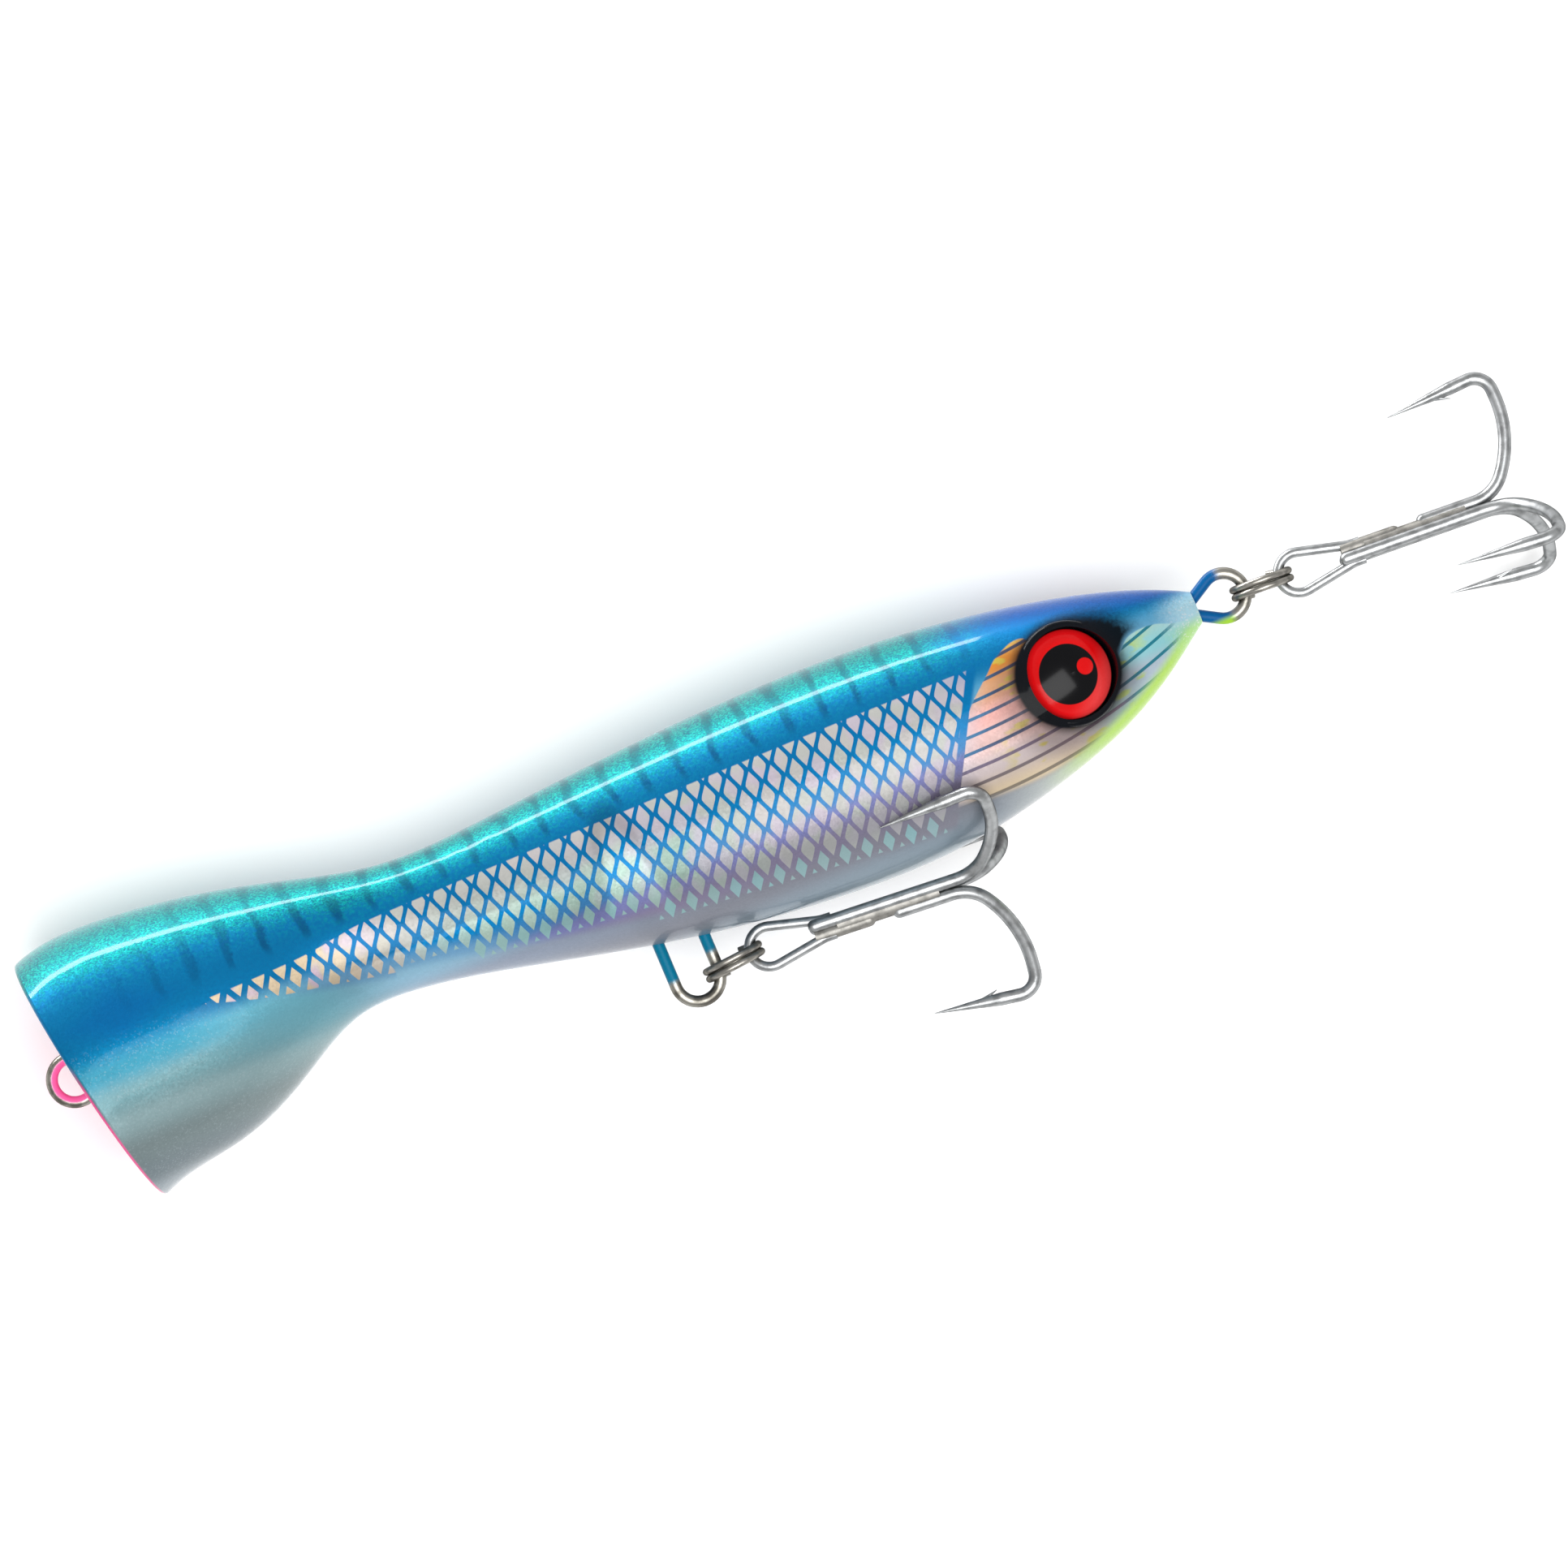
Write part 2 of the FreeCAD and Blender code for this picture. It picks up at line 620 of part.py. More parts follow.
def make_treble(side):
    """A double hook with the eye, a single hook laid on it, and the braze between them."""
    placement = treble_placement(side)
    eye = make_hook_eye(side)
    second = make_hook_wire(f"{side}_second", "double", 120)
    third = make_hook_wire(f"{side}_third", "double", 240)
    double = fuse(f"{side}_treble_double", eye + second + third)
    first = make_hook_wire(f"{side}_first", "single", 0)
    single = fuse(f"{side}_treble_single", first)
    wires = fuse(f"{side}_wires", eye + second[:2] + third[:2] + first[:2])
    braze = make_braze(side, wires)
    for piece in (double, single, braze):
        piece.Placement = placement


PIVOTS = {
    "belly": lambda: Vector(value("dims.hanger_middle"), -value("dims.hanger_depth"), 0),
    "tail": lambda: Vector(value("dims.tail_loop_middle"), 0, 0),
}


# ---------------------------------------------------------------- build, check, export
SUB_PARTS = (
    "shell_left", "shell_right", "through_wire", "belly_weight", "tail_weight_fore",
    "tail_weight_aft", "rattle_ball_front", "rattle_ball_rear", "eye_disc_left",
    "eye_disc_right", "eye_dome_left", "eye_dome_right", "belly_split_ring",
    "tail_split_ring", "belly_treble_double", "belly_treble_single", "belly_treble_braze",
    "tail_treble_double", "tail_treble_single", "tail_treble_braze",
)


def check_document():
    for thing in document.Objects:
        if "Invalid" in thing.State or "Error" in thing.State:
            raise RuntimeError(f"{thing.Name} failed: {thing.State}")


def export():
    """Check and write each sub-part as its own STEP file."""
    os.makedirs("parts", exist_ok=True)
    shapes = {name: document.getObject(name).Shape for name in SUB_PARTS}
    for name, shape in shapes.items():
        if shape.isNull() or not shape.isValid():
            raise RuntimeError(f"{name} has no valid shape")
    for name, shape in shapes.items():
        shape.exportStep(f"parts/{name}.step")
        print(f"{name}: {len(shape.Solids)} solid(s), {shape.Volume:.1f} mm3")


fill_sheet()
make_through_wire()
make_shells()
make_ballast_and_rattles()
make_eyes()
for end in PIVOTS:
    make_split_ring(f"{end}_split_ring", PIVOTS[end](), value(f"dims.{end}_ring_heading"))
    make_treble(end)
document.recompute()
check_document()
export()
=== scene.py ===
"""Topwater popper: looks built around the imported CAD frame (metres, same frame as the CAD).

The lure lies on its right side.  Its painted foil, its bare and painted wire and its hooks
are procedural materials, worked out from each point's own place on the part.
"""
import json
import math

import bpy
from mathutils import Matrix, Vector
from mathutils.bvhtree import BVHTree


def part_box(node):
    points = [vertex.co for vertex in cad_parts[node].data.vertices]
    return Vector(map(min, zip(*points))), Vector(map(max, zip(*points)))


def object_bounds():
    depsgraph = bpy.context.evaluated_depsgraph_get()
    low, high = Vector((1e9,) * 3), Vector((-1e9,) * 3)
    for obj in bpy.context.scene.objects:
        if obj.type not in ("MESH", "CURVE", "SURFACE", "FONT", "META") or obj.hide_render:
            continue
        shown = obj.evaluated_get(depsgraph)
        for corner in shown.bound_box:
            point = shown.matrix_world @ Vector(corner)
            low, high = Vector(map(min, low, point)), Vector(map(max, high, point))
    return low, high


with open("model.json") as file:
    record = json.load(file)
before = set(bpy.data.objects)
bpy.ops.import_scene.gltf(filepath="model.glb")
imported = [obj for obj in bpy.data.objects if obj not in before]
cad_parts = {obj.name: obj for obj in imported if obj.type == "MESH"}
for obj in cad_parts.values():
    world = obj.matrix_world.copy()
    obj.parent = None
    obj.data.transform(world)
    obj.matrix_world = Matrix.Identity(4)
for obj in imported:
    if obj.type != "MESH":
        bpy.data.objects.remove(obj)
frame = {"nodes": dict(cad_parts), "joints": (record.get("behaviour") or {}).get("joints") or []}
NODES = frame["nodes"]
cad_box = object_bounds()
MM = 0.001


# ------------------------------------------------------------------ measures from the frame
def outline(side):
    """(place, height) pairs of the body's edge, in mm, looked for from above or below."""
    shell = NODES["shell_left"]
    tree = BVHTree.FromObject(shell, bpy.context.evaluated_depsgraph_get())
    lowest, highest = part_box("shell_left")
    first, last = lowest.x + 0.006, highest.x - 0.0005
    outside, beside_seam = 0.05, 0.0003
    steps = 34
    rows = []
    for number in range(steps + 1):
        place = first + (last - first) * number / steps
        start = Vector((place, side * outside, beside_seam))
        hit = tree.ray_cast(start, Vector((0, -side, 0)))[0]
        if hit:
            rows.append((place / MM, hit.y / MM))
    return rows


BACK, BELLY = outline(1), outline(-1)
EYE = (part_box("eye_disc_left")[0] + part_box("eye_disc_left")[1]) / 2 / MM
JOINTS = {joint["name"]: joint for joint in frame["joints"]}
HANGER = Vector(JOINTS["belly_ring_swing"]["pos_m"]) / MM
TAIL_LOOP = Vector(JOINTS["tail_ring_swing"]["pos_m"]) / MM


# ------------------------------------------------------------------ node arithmetic
class Field:
    """A number on the surface: node sockets that add, multiply and compare like numbers."""

    def __init__(self, graph, socket):
        self.graph, self.socket = graph, socket

    def _with(self, operation, first, second=None, clamp=False):
        return self.graph.math(operation, first, second, clamp)

    def __add__(self, other):
        return self._with("ADD", self, other)

    def __sub__(self, other):
        return self._with("SUBTRACT", self, other)

    def __rsub__(self, other):
        return self._with("SUBTRACT", other, self)

    def __mul__(self, other):
        return self._with("MULTIPLY", self, other)

    def __truediv__(self, other):
        return self._with("DIVIDE", self, other)

    def __pow__(self, other):
        return self._with("POWER", self, other)

    def __abs__(self):
        return self._with("ABSOLUTE", self)

    __radd__, __rmul__ = __add__, __mul__

    def max(self, other):
        return self._with("MAXIMUM", self, other)

    def floor(self):
        return self._with("FLOOR", self)

    def fraction(self):
        return self._with("FRACT", self)

    def clamp(self):
        return self._with("ADD", self, 0.0, clamp=True)


class Graph:
    """The nodes of one material, with a Principled shader at their end."""

    def __init__(self, name):
        self.material = bpy.data.materials.new(name)
        self.material.use_nodes = True
        self.tree = self.material.node_tree
        self.shader = self.tree.nodes["Principled BSDF"]
        place = self.tree.nodes.new("ShaderNodeTexCoord").outputs["Object"]
        split = self.node("ShaderNodeSeparateXYZ", Vector=place)
        self.place = place
        self.x, self.y, self.z = (Field(self, split.outputs[axis]) * (1 / MM) for axis in "XYZ")

    def node(self, kind, **inputs):
        node = self.tree.nodes.new(kind)
        for name, given in inputs.items():
            self.feed(node.inputs[name.replace("_", " ")], given)
        return node

    def feed(self, socket, given):
        if isinstance(given, Field):
            given = given.socket
        if isinstance(given, bpy.types.NodeSocket):
            self.tree.links.new(given, socket)
        elif socket.type == "RGBA" and len(given) == 3:
            socket.default_value = (*given, 1.0)
        else:
            socket.default_value = given

    def math(self, operation, first, second=None, clamp=False):
        node = self.tree.nodes.new("ShaderNodeMath")
        node.operation, node.use_clamp = operation, clamp
        for socket, given in zip(node.inputs, (first, second)):
            if given is not None:
                self.feed(socket, given)
        return Field(self, node.outputs[0])

    def step(self, field, low, high):
        """0 below low, 1 above high, smooth between; low may be above high."""
        node = self.node("ShaderNodeMapRange")
        node.interpolation_type = "SMOOTHSTEP"
        flip = not isinstance(low, Field) and not isinstance(high, Field) and low > high
        if flip:
            low, high = high, low
        for name, given in (("Value", field), ("From Min", low), ("From Max", high)):
            self.feed(node.inputs[name], given)
        result = Field(self, node.outputs["Result"])
        return 1 - result if flip else result

    def curve(self, field, points):
        """A smooth line through (input, output) points, level beyond both ends."""
        low, high = points[0][0], points[-1][0]
        heights = [height for _, height in points]
        bottom, reach = min(heights), (max(heights) - min(heights)) or 1.0
        node = self.tree.nodes.new("ShaderNodeFloatCurve")
        line = node.mapping.curves[0]
        while len(line.points) < len(points):
            line.points.new(0.5, 0.5)
        scaled = [((x - low) / (high - low), (y - bottom) / reach) for x, y in points]
        for knot, spot in zip(line.points, scaled):
            knot.location = spot
            knot.handle_type = "AUTO"
        node.mapping.update()
        self.feed(node.inputs["Value"], (field - low) / (high - low))
        return Field(self, node.outputs[0]) * reach + bottom

    def noise(self, scale, detail, stretch=(1, 1, 1)):
        """Fine noise, about 0 to 1; scale is features per mm."""
        mapping = self.node("ShaderNodeMapping", Vector=self.place)
        mapping.inputs["Scale"].default_value = [scale / MM * part for part in stretch]
        node = self.node("ShaderNodeTexNoise", Vector=mapping.outputs[0], Scale=1.0,
                         Detail=detail)
        return Field(self, node.outputs["Fac"])

    def cells(self, scale):
        """A random number for each small cell of the surface."""
        mapping = self.node("ShaderNodeMapping", Vector=self.place)
        mapping.inputs["Scale"].default_value = [scale / MM] * 3
        node = self.node("ShaderNodeTexVoronoi", Vector=mapping.outputs[0], Scale=1.0)
        split = self.node("ShaderNodeSeparateColor", Color=node.outputs["Color"])
        return Field(self, split.outputs[0])

    def chance(self, first, second):
        """A random number for each pair of whole numbers."""
        pair = self.node("ShaderNodeCombineXYZ", X=first, Y=second)
        node = self.node("ShaderNodeTexWhiteNoise", Vector=pair.outputs[0])
        return Field(self, node.outputs["Value"])

    def mix(self, under, over, amount, blend="MIX"):
        """One colour over another; the Mix node's colour sockets are reached by number."""
        first_colour, second_colour, colour_result = 6, 7, 2
        node = self.tree.nodes.new("ShaderNodeMix")
        node.data_type, node.blend_type = "RGBA", blend
        self.feed(node.inputs["Factor"], amount)
        self.feed(node.inputs[first_colour], under)
        self.feed(node.inputs[second_colour], over)
        return node.outputs[colour_result]

    def ramp(self, field, stops):
        """Colours at places of a field, in the field's own units."""
        low, high = stops[0][0], stops[-1][0]
        node = self.tree.nodes.new("ShaderNodeValToRGB")
        node.color_ramp.interpolation = "EASE"
        marks = node.color_ramp.elements
        while len(marks) < len(stops):
            marks.new(0.5)
        for mark, (place, colour) in zip(marks, stops):
            mark.position = (place - low) / (high - low)
            mark.color = (*colour, 1.0)
        self.feed(node.inputs["Fac"], (field - low) / (high - low))
        return node.outputs["Color"]

    def bump(self, height, strength, distance):
        node = self.node("ShaderNodeBump", Height=height, Strength=strength, Distance=distance)
        return node.outputs["Normal"]

    def glitter(self, scale, tilt):
        """A surface normal that tips a random way in each flake."""
        mapping = self.node("ShaderNodeMapping", Vector=self.place)
        mapping.inputs["Scale"].default_value = [scale / MM] * 3
        flake = self.node("ShaderNodeTexVoronoi", Vector=mapping.outputs[0], Scale=1.0)
        result = flake.outputs["Color"]
        steps = (("SUBTRACT", (0.5, 0.5, 0.5)), ("MULTIPLY", (tilt, tilt, tilt)),
                 ("ADD", self.tree.nodes.new("ShaderNodeNewGeometry").outputs["Normal"]))
        for operation, given in steps:
            node = self.tree.nodes.new("ShaderNodeVectorMath")
            node.operation = operation
            self.feed(node.inputs[0], result)
            self.feed(node.inputs[1], given)
            result = node.outputs[0]
        last = self.tree.nodes.new("ShaderNodeVectorMath")
        last.operation = "NORMALIZE"
        self.feed(last.inputs[0], result)
        return last.outputs[0]

    def finish(self, **inputs):
        for name, given in inputs.items():
            self.feed(self.shader.inputs[name.replace("_", " ")], given)
        return self.material


def rgb(red, green, blue, share=0.66):
    """A display colour, 0 to 255, as the linear colour that a shader takes under these lights."""
    parts = (value / 255 for value in (red, green, blue))
    linear = (v / 12.92 if v <= 0.04045 else ((v + 0.055) / 1.055) ** 2.4 for v in parts)
    return tuple(share * v for v in linear)


# ------------------------------------------------------------------ paint of the body
class BodyGraph(Graph):
    """The body's graph, with the outline and the grain that its layers of paint share."""

    def __init__(self, name):
        super().__init__(name)
        self.back, self.belly = self.curve(self.x, BACK), self.curve(self.x, BELLY)
        self.grit = self.noise(2.2, 3.0)
        self.drift = self.noise(0.12, 2.0)
        self.sparkle = self.step(self.cells(5.0), 0.80, 1.0)


def paint_back(g):
    """Teal over blue: (colour, 1 in the teal and 0 in the blue)."""
    x, y = g.x, g.y
    seam = g.curve(x, [(-4, 12.5), (12, 12.0), (24, 10.8), (36, 8.9), (46, 7.0), (60, 6.8),
                       (80, 7.6), (100, 8.2), (118, 7.7), (132, 5.5), (150, 2.5)])
    mottle = g.noise(3.6, 3.0, (1, 1.5, 1))
    teal = g.mix(rgb(0, 106, 124), rgb(0, 160, 150), g.step(mottle, 0.4, 0.62))
    teal = g.mix(teal, rgb(30, 176, 158), g.sparkle * 0.45)
    blue = g.mix(rgb(0, 112, 170), rgb(0, 124, 176), g.grit)
    blue = g.mix(blue, rgb(0, 140, 166), g.step(y - seam, -4.5, 0.5) * g.step(g.grit, 0.4, 0.7))
    above = g.step(y - seam + (g.grit - 0.5) * 1.6, -1.6, 1.6)
    coat = g.mix(blue, teal, above)
    deep = g.step(abs(x - 10) / 11 + abs(y - 5.8) / 5, 1.1, 0.2)
    coat = g.mix(coat, rgb(0, 104, 178), deep * 0.5)
    return coat, above


def paint_bars(g, coat, above):
    """Mackerel bars across the back: (colour, strength of the bars)."""
    x, y = g.x, g.y
    wave = (g.noise(0.16, 1.0) - 0.5) * 2.4 + (g.grit - 0.5) * 0.9
    wave = wave + (y - 8) * (g.noise(0.11, 0.0, (1, 0, 0)) - 0.3) * 0.5
    pitch = 4.95
    bar_place = (x + wave) / pitch + 0.25
    bar = abs(bar_place.fraction() - 0.5)
    bar_width = 0.07 + g.chance(bar_place.floor(), 3.0) * 0.05 + g.step(y, 5.0, 9.5) * 0.04
    bars = g.step(bar - bar_width, 0.06, -0.06) * g.step(y, 4.6, 6.6) * g.step(x, 4.0, 16.0)
    bars = bars * g.step(x, 141, 130) * (0.5 + g.drift * 0.6) * g.step(x, -4, 40)
    coat = g.mix(coat, g.mix(rgb(0, 72, 118), rgb(0, 90, 104), above), bars * 0.85)
    return coat, bars


def paint_flare(g, coat):
    """The blue fades into pearl grey: (colour, height at which it does)."""
    x, y = g.x, g.y
    pearl = g.ramp(y, [(-18, rgb(160, 172, 180)), (-15.5, rgb(124, 138, 144)),
                       (-12, rgb(134, 150, 152)), (-8, rgb(152, 180, 184)),
                       (-4.5, rgb(132, 178, 186)), (-1.0, rgb(58, 160, 188)), (2.5, rgb(0, 138, 190))])
    pearl = g.mix(pearl, rgb(210, 225, 230), g.sparkle * 0.14)
    pearl = g.mix(pearl, rgb(140, 216, 236), g.step(x, 14, 32) * g.step(y, -9, -3) * 0.85)
    flank_low = g.ramp(y, [(-17.5, rgb(190, 208, 218)), (-15.8, rgb(146, 164, 178)),
                           (-12.5, rgb(144, 148, 160)), (-8.0, rgb(152, 164, 184)),
                           (-4.0, rgb(158, 206, 232)), (4.0, rgb(50, 160, 210))])
    low_tone = g.mix(pearl, flank_low, g.step(x + y * 0.6, 30, 44))
    fade = g.curve(x, [(-4, 2.2), (14, 2.4), (26, 0.8), (40, 1.5), (60, 2.2), (110, 3.0), (160, 3.0)])
    coat = g.mix(low_tone, coat, g.step(y - fade, -1.6, 1.4))
    return coat, fade


def scale_lattice(g):
    """Leaning diamond scales, in rows that bend down past start, over a length of ease.

    Gives the place along and across a scale, the scale's two numbers and its middle.
    """
    width, height, slope, start, ease = 2.99, 4.12, -0.104, 38.6, 4.0
    first, second = 0.21, 0.77

    def bend(place):
        run = place - start
        return (run + (run * run + ease ** 2) ** 0.5) * (0.5 * slope)

    q = g.y - bend(g.x)
    lean = g.step(g.x, start - 4, start + 8) * slope
    p = g.x + q * lean
    up, down = p / width + q / height + first, p / width - q / height + second
    rise, fall = up.fraction() - 0.5, down.fraction() - 0.5
    along, across = (rise + fall) * (width / 2), (rise - fall) * (height / 2)
    up, down = up.floor(), down.floor()
    middle_q = (up - down + (second - first)) * (height / 2)
    middle_x = (up + down + (1 - first - second)) * (width / 2) - middle_q * lean
    middle_y = middle_q + bend(middle_x)
    return along, across, up, down, middle_x, middle_y


def foil_colour(g, bars, lower, numbers):
    """Pale foil with green, pink and gold drifts; lower is 1 in the last row of scales."""
    x, y = g.x, g.y
    tint = g.chance(*numbers)
    soft = g.noise(0.22, 1.0)
    foil = g.mix(rgb(198, 202, 196), rgb(208, 204, 202), tint)
    green = g.step(x, 44, 60) * g.step(x, 98, 84) * g.step(y, 3.0, -3.0)
    foil = g.mix(foil, rgb(172, 206, 192), (green * (0.5 + soft * 0.6)).clamp())
    early = g.step(x, 50, 34)
    foil = g.mix(foil, rgb(236, 212, 176), early * g.step(soft, 0.35, 0.55) * 0.9)
    foil = g.mix(foil, rgb(226, 196, 218), early * g.step(soft, 0.5, 0.36) * 0.8)
    foil = g.mix(foil, rgb(214, 196, 224), g.step(x, 60, 90) * g.step(soft, 0.55, 0.4) * 0.5)
    foil = g.mix(foil, rgb(170, 176, 178), g.step(y, -5.5, -10.0) * 0.55)
    foil = g.mix(foil, rgb(146, 200, 206), lower * (0.45 + tint * 0.35) * g.step(x, 44, 56))
    foil = g.mix(foil, rgb(0, 186, 186), bars * g.step(y, 1.0, 4.0) * 0.9)
    return foil


def paint_scales(g, coat, gill, bars):
    """Scale foil with a web of blue lines between the scales: (colour, where the foil is)."""
    x, y = g.x, g.y
    along, across, up, down, middle_x, middle_y = scale_lattice(g)
    # top edge; below, a straight cut at the thin end and whole scales behind it
    top = g.curve(x, [(18, 3.0), (30, 3.1), (40, 3.9), (46, 4.35), (90, 4.4), (130, 4.0)])
    cut = g.curve(x, [(18, 3.5), (21, 2.45), (29.7, -0.2), (36, -1.5), (46, -3.6), (56, -5)])
    tips = [(18, 3.9), (22, 2.3), (26, 1.0), (32, -0.5), (40, -1.9), (48, -3.2), (57, -5.0),
            (67, -7.1), (78.5, -9.1), (90.5, -11.1), (102.5, -12.4), (114, -13.5), (126, -14.3)]
    bottom, under = g.curve(x, tips), g.curve(middle_x, tips)
    rank = middle_y - under
    lower = g.step(rank, 2.3, 1.7)
    size = 1.03 - lower * 0.2
    scale = abs(along) * 0.92 + abs(across) * 0.53 + (abs(along) - 0.68).max(0) ** 2 * 2
    scale = g.step(scale / size, 0.95, 0.88)
    stub = g.step(rank, -2.15, -2.05) * g.step(across, 0.78, 0.9) * g.step(x, 44, 52)
    whole = g.step(x, 44.8, 45.2)
    inside = g.step(rank, -0.01, 0.01).max(stub) * whole + g.step(y - cut, -0.1, 0.1) * (1 - whole)
    inside = inside * g.step(y - top, 0.1, -0.1)
    inside = inside * g.step(gill, -0.5, -0.75) * g.step(x, 20.6, 20.9)
    cell = scale * inside
    foil = foil_colour(g, bars, lower, (up, down))

    # web between the scales, turning from blue to grey lilac towards the belly
    lines = g.ramp(y, [(-12.5, rgb(146, 146, 160)), (-9.5, rgb(150, 142, 172)),
                       (-6.8, rgb(136, 140, 198)), (-4.8, rgb(70, 142, 202)), (-2.4, rgb(0, 132, 196)),
                       (4.4, rgb(0, 118, 180))])
    lines = g.mix(lines, rgb(150, 196, 226), g.step(y - bottom, 2.4, 0.2) * g.step(x, 68, 54) * 0.6)
    web = g.step(y - top, 0.3, -0.1) * g.step(x, 24.0, 40.0)
    web = web * g.step(y - cut - (bottom - cut) * whole, -1.2, 0.4)
    web = web * g.step(gill, 1.2, 0.4)
    coat = g.mix(coat, lines, web)
    coat = g.mix(coat, foil, cell)
    return coat, cell


def gill_foil(g):
    """Foil with fine dark rays, warm before the eye and cool behind it."""
    x, y = g.x, g.y
    ray_line = y - ((x - 127).max(0) ** 2) * 0.0059
    ray = abs(((ray_line + 0.12) / 2.05).fraction() - 0.5)
    rays = g.step(ray, 0.37, 0.42)
    shimmer = g.noise(0.28, 2.0, (1, 2.2, 1))
    warm = g.ramp(y, [(-12.5, rgb(236, 214, 180)), (-9.0, rgb(232, 216, 216)), (-5.5, rgb(246, 206, 200)),
                      (-2.5, rgb(246, 184, 176)), (0.8, rgb(246, 186, 140)), (3.4, rgb(250, 158, 60)),
                      (5.4, rgb(246, 196, 110))])
    warm = g.mix(warm, rgb(232, 216, 90), g.step(shimmer, 0.56, 0.68) * g.step(x, 128, 134) * 0.8)
    warm = g.mix(warm, rgb(222, 214, 224), g.step(x - y * 0.5, 131.5, 127.5) * 0.6)
    cool = g.ramp(y, [(-9.0, rgb(176, 212, 210)), (-5.0, rgb(196, 212, 226)), (-2.4, rgb(160, 226, 234)),
                      (0.6, rgb(186, 230, 226))])
    cool = g.mix(cool, rgb(206, 232, 110), g.step(shimmer, 0.54, 0.66) * g.step(x, 155, 150) * 0.8)
    cheek = g.mix(warm, cool, g.step(x, 139, 147))
    ray_tone = g.ramp(y, [(-12, rgb(136, 126, 112)), (-8.4, rgb(126, 112, 138)), (-5.5, rgb(30, 84, 124)),
                          (3.0, rgb(0, 72, 116))])
    ray_tone = g.mix(ray_tone, rgb(0, 128, 150), g.step(x, 146, 150))
    ray_tone = g.mix(ray_tone, rgb(0, 118, 168), g.step(x - y * 0.55, 133, 129.5) * g.step(y, -9, -5))
    cheek = g.mix(cheek, ray_tone, rays * g.step(x, 158.5, 156.5) * 0.93)
    return cheek


def paint_head(g, coat, gill, fade):
    """Crown, cheek, chin and eye socket: (colour, where the cheek, the lash and the socket are)."""
    x, y = g.x, g.y
    cheek = gill_foil(g)
    brow = g.curve(x, [(123, -8.5), (127, -2.0), (131.8, 2.4), (134.9, 4.6), (137.6, 5.2),
                       (139, 4.0), (147.6, -2.2), (151.4, 0.0), (154, 0.2), (158, -0.9), (161, -1.2)])
    chin = g.curve(x, [(123, -11.8), (130, -12.6), (137, -12.2), (146, -9.4), (154, -5.6), (161, -2.0)])
    head = g.step(y - brow, 0.12, -0.12) * g.step(gill, 0.45, 0.62) * g.step(y - chin, -0.9, 0.3)
    crown = g.mix(rgb(0, 118, 182), rgb(0, 84, 166), g.step(y - g.back, -3.8, -0.8))
    coat = g.mix(coat, crown, g.step(x + (g.drift - 0.5) * 8, 122, 138) * g.step(y - fade, -2.0, 1.0))
    gape = ((x - EYE.x) ** 2 + (y - EYE.y) ** 2) ** 0.5
    lash = (((x - EYE.x - 2.6) * 0.88) ** 2 + ((y - EYE.y - 0.5) * 1.12) ** 2) ** 0.5
    lash = g.step(lash + (g.grit - 0.5) * 1.2, 8.9, 5.6) * g.step(y - brow, -0.5, 1.0)
    coat = g.mix(coat, rgb(0, 12, 22), lash)
    shade = ((x - EYE.x + 0.8) ** 2 + (y - EYE.y + 1.4) ** 2) ** 0.5
    cheek = g.mix(cheek, rgb(92, 66, 60), g.step(shade, 11.5, 6.5) * 0.55)
    coat = g.mix(coat, cheek, head)
    throat = g.mix(rgb(150, 158, 168), rgb(214, 220, 214), g.step(x, 124, 140))
    coat = g.mix(coat, throat, g.step(y - chin, 0.2, -0.9) * g.step(x, 118, 130) * 0.9)
    lime = g.step(y - g.belly, 2.6, 0.9) * g.step(x, 132, 146)
    coat = g.mix(coat, rgb(190, 236, 84), lime * 0.95)
    tip = g.mix(rgb(196, 238, 252), rgb(190, 240, 160), g.step(y, -0.6, -2.6))
    tip = g.mix(tip, rgb(255, 255, 255), g.sparkle * 0.7)
    coat = g.mix(coat, tip, g.step(x + (g.grit - 0.5) * 2, 154.5, 160) * g.step(y, 3.2, 0.8) * 0.9)
    ring_inner, ring_outer, painted_shade_edge = 6.9, 7.35, 8.4
    socket = g.step(gape, ring_outer, ring_inner)
    coat = g.mix(coat, rgb(4, 5, 8), socket)
    # painted shade: a soft dark halo round the raised eye socket, fading out beyond its black ring
    coat = g.mix(coat, rgb(10, 14, 22), g.step(gape, painted_shade_edge, ring_inner) * 0.75)
    return coat, head, lash, socket


def paint_mouth(g, coat):
    """Fluorescent pink inside and on the edge of the lip: (colour, where it is)."""
    middle, drop, slant = 1.7, 0.6, math.radians(10.4)
    half_height, half_width, cup_depth = 16.4, 15.3, 10.0
    depth = (g.x - middle) * math.cos(slant) + (g.y + drop) * math.sin(slant)
    height = (g.y + drop) * math.cos(slant) - (g.x - middle) * math.sin(slant)
    bowl = (height / half_height) ** 2 + (g.z / half_width) ** 2 + (depth / cup_depth) ** 2
    lip = g.step(depth, 0.5, 0.2) * g.step(height, 3.0, -2.0)
    mouth = (g.step(bowl, 1.12, 1.05) * g.step(g.x, 13, 12.5)).max(lip)
    pink = g.mix(rgb(250, 74, 146), rgb(255, 104, 170), g.grit)
    coat = g.mix(coat, pink, mouth)
    return coat, mouth


